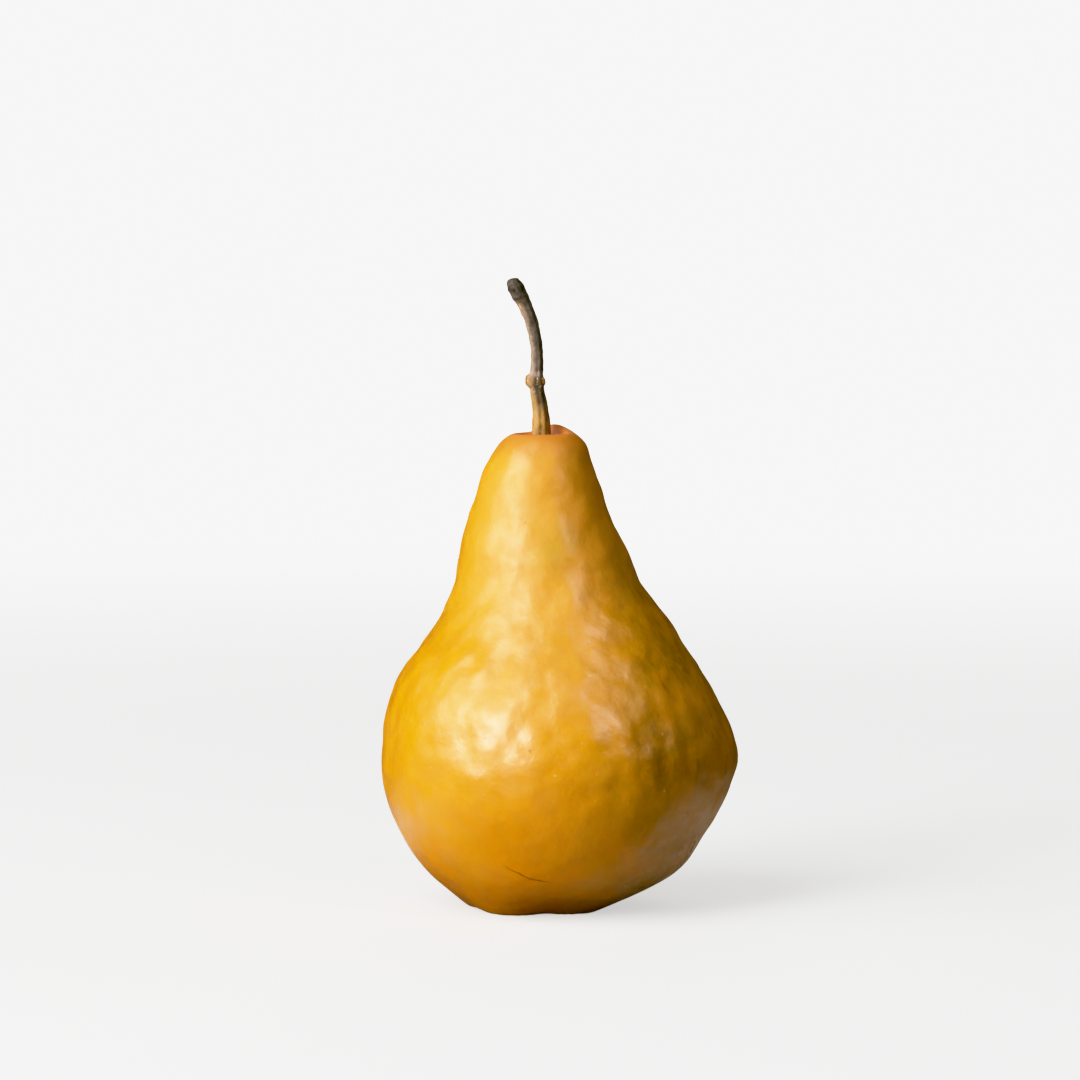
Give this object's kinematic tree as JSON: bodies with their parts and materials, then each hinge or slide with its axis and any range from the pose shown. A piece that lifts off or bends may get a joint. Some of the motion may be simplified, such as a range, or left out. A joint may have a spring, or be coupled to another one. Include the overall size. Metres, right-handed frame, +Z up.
{
  "type": "pear",
  "caption": "Ripe russet-gold pear standing on its base: a lopsided bell-shaped fruit with a long neck, a bent woody stem and a dried flower in its eye.",
  "frame": {"origin": "on the surface that the pear stands on, under the middle of its width and depth", "axes": "+Z up, from the eye to the stem; +X towards the fuller side of the belly; -Y is the front"},
  "size_m": [0.074, 0.072, 0.131],
  "materials": {
    "skin": "satin",
    "stem_wood": "matte",
    "dried_flower": "matte"
  },
  "bodies": {
    "root": {"fruit": "skin", "stem": "stem_wood", "sepal_1": "dried_flower", "sepal_2": "dried_flower", "sepal_3": "dried_flower", "sepal_4": "dried_flower", "sepal_5": "dried_flower", "stamens": "dried_flower"}
  },
  "joints": []
}
